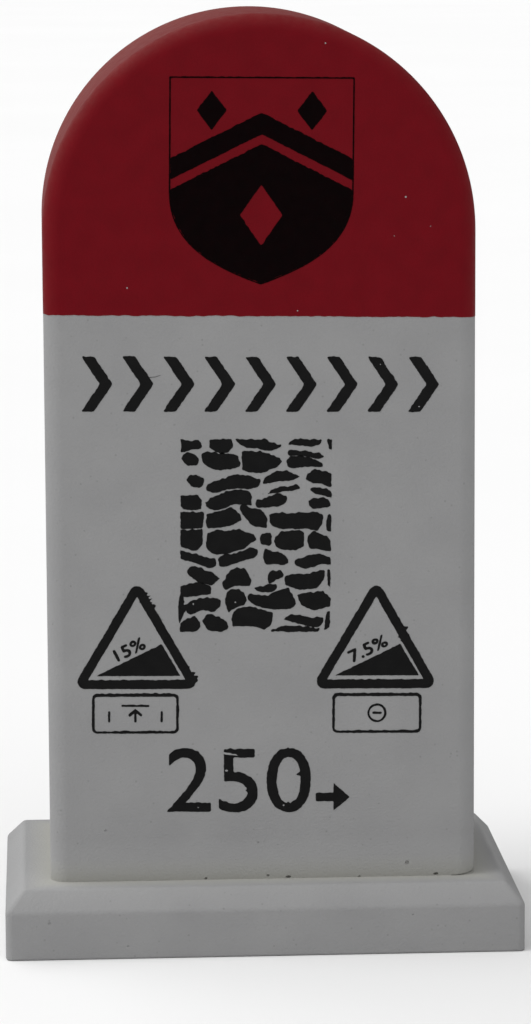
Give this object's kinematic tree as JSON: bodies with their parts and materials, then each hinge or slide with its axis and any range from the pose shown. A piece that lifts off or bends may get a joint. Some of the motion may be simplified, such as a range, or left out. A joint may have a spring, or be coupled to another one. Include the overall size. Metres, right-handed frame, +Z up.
{
  "type": "distance marker post",
  "caption": "Small cast distance marker stone: an upright slab with a half-round head and softened edges on a wider rectangular plinth with a sloped top edge.",
  "frame": {"origin": "middle of the plinth's flat underside, on the surface that it stands on", "axes": "+Z up; the printed front face looks towards -Y; +X is to the right of someone who reads the front"},
  "size_m": [0.0812, 0.0542, 0.1459],
  "materials": {
    "cast_stone": "matt off-white casting with a few pinholes",
    "red_paint": "thin satin red paint over the head, down to a level edge",
    "black_print": "thin matt black print on the front face"
  },
  "bodies": {
    "root": {"marker_stone": "cast_stone"}
  },
  "joints": []
}
